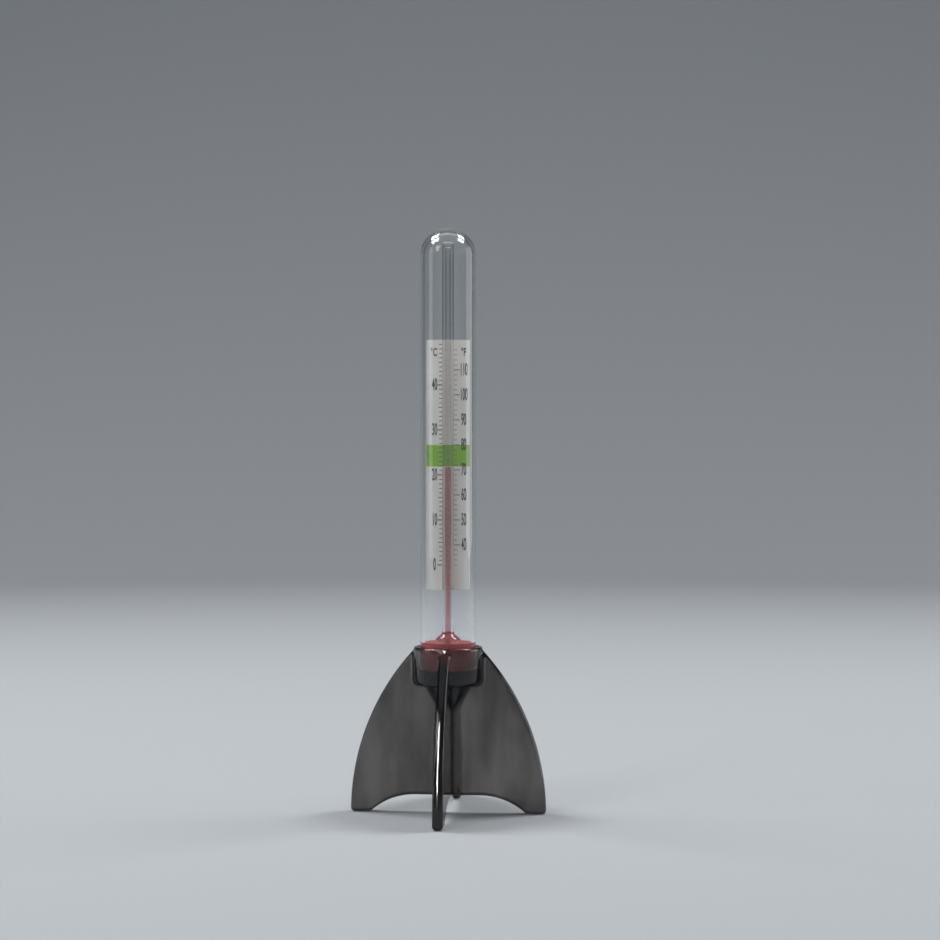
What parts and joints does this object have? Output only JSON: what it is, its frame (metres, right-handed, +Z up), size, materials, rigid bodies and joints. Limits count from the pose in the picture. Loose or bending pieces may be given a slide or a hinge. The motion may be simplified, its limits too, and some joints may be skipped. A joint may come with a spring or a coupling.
{
  "type": "standing glass aquarium thermometer",
  "caption": "Glass tube thermometer with a printed scale card and red spirit, standing in a smoke-grey base with anchoring fins.",
  "frame": {"origin": "on the floor under the tube's axis, at the middle of the four feet", "axes": "+Z up along the glass tube; -Y is the front, where one fin points at the viewer; +X is to the viewer's right"},
  "size_m": [0.0468, 0.0468, 0.139],
  "materials": {
    "smoke_plastic": "glossy translucent smoke grey",
    "tube_glass": "clear polished glass",
    "capillary_glass": "clear drawn glass",
    "red_spirit": "clear red liquid",
    "printed_card": "matt white card, dark grey print, green band",
    "red_resin": "cast red resin"
  },
  "bodies": {
    "base": {"fin_base": "smoke_plastic"},
    "tube": {"glass_envelope": "tube_glass", "capillary_stem": "capillary_glass", "spirit_reservoir": "red_spirit", "scale_card": "printed_card", "bottom_seal": "red_resin"},
    "spirit": {"spirit_column": "red_spirit"}
  },
  "joints": [
    {"name": "tube_turn", "type": "hinge", "parent": "base", "child": "tube", "pos_m": [0, 0, 0.034], "axis": [0, 0, 1], "continuous": true},
    {"name": "spirit_rise", "type": "slide", "parent": "tube", "child": "spirit", "axis": [0, 0, 1], "range_m": [-0.0231, 0.0304], "deforming": ["spirit_column"]}
  ]
}
